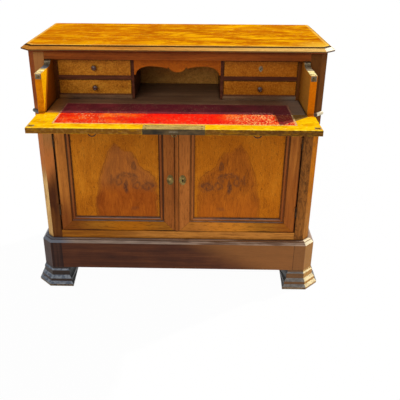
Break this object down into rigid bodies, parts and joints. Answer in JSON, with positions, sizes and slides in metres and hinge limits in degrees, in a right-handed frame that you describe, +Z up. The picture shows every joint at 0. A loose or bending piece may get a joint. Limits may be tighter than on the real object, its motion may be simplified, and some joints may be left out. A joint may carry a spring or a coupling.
{
  "type": "secretary commode",
  "caption": "Walnut secretary commode with a pull-out drawer whose front lets down as a leather-lined writing flap, a nest of small drawers, and panelled cupboard doors.",
  "frame": {"origin": "floor level, at the middle of the whole piece's width and depth with the drawer out and the fall open", "axes": "+X to the right as seen from the front, +Y to the back, +Z up"},
  "size_m": [1.193, 0.8186, 1],
  "materials": {
    "walnut": "rubbed french polish, warm, worn at the edges",
    "figured_walnut": "book-matched crotch and burr veneer under french polish",
    "dark_walnut": "dark, dry and scuffed polish",
    "plain_wood": "unpolished, aged",
    "leather": "glazed, tooled with a gilt border, scuffed",
    "brass": "dull and tarnished",
    "iron": "dark, rubbed smooth by use",
    "turned_wood": "dark turned knobs, polished"
  },
  "bodies": {
    "carcase": {"top_board": "walnut", "frieze_rail": "walnut", "left_post": "walnut", "right_post": "walnut", "left_side": "walnut", "right_side": "walnut", "back_panel": "plain_wood", "waist_rail": "walnut", "waist_moulding": "walnut", "dust_board": "plain_wood", "bottom_rail": "walnut", "cupboard_floor": "plain_wood", "cupboard_shelf": "plain_wood", "plinth_front": "dark_walnut", "plinth_left": "dark_walnut", "plinth_right": "dark_walnut", "front_left_foot": "dark_walnut", "front_right_foot": "dark_walnut", "rear_left_foot": "dark_walnut", "rear_right_foot": "dark_walnut", "left_upper_hinge": "iron", "left_lower_hinge": "iron", "right_upper_hinge": "iron", "right_lower_hinge": "iron"},
    "left_door": {"left_door_outer_stile": "walnut", "left_door_meeting_stile": "walnut", "left_door_top_rail": "walnut", "left_door_bottom_rail": "walnut", "left_door_panel": "figured_walnut"},
    "right_door": {"right_door_outer_stile": "walnut", "right_door_meeting_stile": "walnut", "right_door_top_rail": "walnut", "right_door_bottom_rail": "walnut", "right_door_panel": "figured_walnut"},
    "secretary_drawer": {"writing_bed": "walnut", "drawer_left_side": "walnut", "drawer_right_side": "walnut", "drawer_back": "walnut", "bed_leather": "leather", "left_divider": "walnut", "right_divider": "walnut", "left_nest_shelf": "walnut", "right_nest_shelf": "walnut", "apron": "figured_walnut"},
    "left_catch": {"left_catch_bolt": "brass"},
    "right_catch": {"right_catch_bolt": "brass"},
    "fall": {"fall_board": "walnut", "fall_leather": "leather", "fall_lock": "brass"},
    "key": {"fall_key": "iron"},
    "lock_bolt": {"fall_lock_bolt": "iron"},
    "left_ring": {"left_pull_ring": "iron"},
    "right_ring": {"right_pull_ring": "iron"},
    "upper_left_drawer": {"upper_left_drawer_box": "figured_walnut", "upper_left_drawer_knob": "turned_wood"},
    "lower_left_drawer": {"lower_left_drawer_box": "figured_walnut", "lower_left_drawer_knob": "turned_wood"},
    "upper_right_drawer": {"upper_right_drawer_box": "figured_walnut"},
    "lower_right_drawer": {"lower_right_drawer_box": "figured_walnut", "lower_right_drawer_knob": "turned_wood"}
  },
  "joints": [
    {"name": "secretary_slide", "type": "slide", "parent": "carcase", "child": "secretary_drawer", "axis": [0, 1, 0], "range_m": [0, 0.175]},
    {"name": "fall_hinge", "type": "hinge", "parent": "secretary_drawer", "child": "fall", "pos_m": [0, -0.25045, 0.78715], "axis": [-1, 0, 0], "range_deg": [0, 90]},
    {"name": "left_door_hinge", "type": "hinge", "parent": "carcase", "child": "left_door", "pos_m": [-0.4797, -0.0877, 0.48775], "axis": [0, 0, -1], "range_deg": [0, 105]},
    {"name": "right_door_hinge", "type": "hinge", "parent": "carcase", "child": "right_door", "pos_m": [0.4797, -0.0877, 0.48775], "axis": [0, 0, 1], "range_deg": [0, 105]},
    {"name": "upper_left_drawer_slide", "type": "slide", "parent": "secretary_drawer", "child": "upper_left_drawer", "axis": [0, -1, 0], "range_m": [0, 0.15]},
    {"name": "lower_left_drawer_slide", "type": "slide", "parent": "secretary_drawer", "child": "lower_left_drawer", "axis": [0, -1, 0], "range_m": [0, 0.15]},
    {"name": "upper_right_drawer_slide", "type": "slide", "parent": "secretary_drawer", "child": "upper_right_drawer", "axis": [0, -1, 0], "range_m": [0, 0.15]},
    {"name": "lower_right_drawer_slide", "type": "slide", "parent": "secretary_drawer", "child": "lower_right_drawer", "axis": [0, -1, 0], "range_m": [0, 0.15]},
    {"name": "left_catch_slide", "type": "slide", "parent": "secretary_drawer", "child": "left_catch", "axis": [0, 1, 0], "range_m": [0, 0.005], "stiffness_N_per_m": 200, "springref_m": -0.002},
    {"name": "right_catch_slide", "type": "slide", "parent": "secretary_drawer", "child": "right_catch", "axis": [0, 1, 0], "range_m": [0, 0.005], "stiffness_N_per_m": 200, "springref_m": -0.002},
    {"name": "key_turn", "type": "hinge", "parent": "fall", "child": "key", "pos_m": [0, -0.3733, 0.7779], "axis": [0, 0, 1], "range_deg": [0, 90]},
    {"name": "bolt_slide", "type": "slide", "parent": "fall", "child": "lock_bolt", "axis": [0, -1, 0], "range_m": [0, 0.007]},
    {"name": "left_ring_swing", "type": "hinge", "parent": "fall", "child": "left_ring", "pos_m": [-0.279, -0.33295, 0.7717], "axis": [1, 0, 0], "range_deg": [-85, 85]},
    {"name": "right_ring_swing", "type": "hinge", "parent": "fall", "child": "right_ring", "pos_m": [0.279, -0.33295, 0.7717], "axis": [1, 0, 0], "range_deg": [-85, 85]}
  ],
  "couplings": [
    {"joint": "key_turn", "follows": "bolt_slide", "rad_per_m": 224.39}
  ]
}
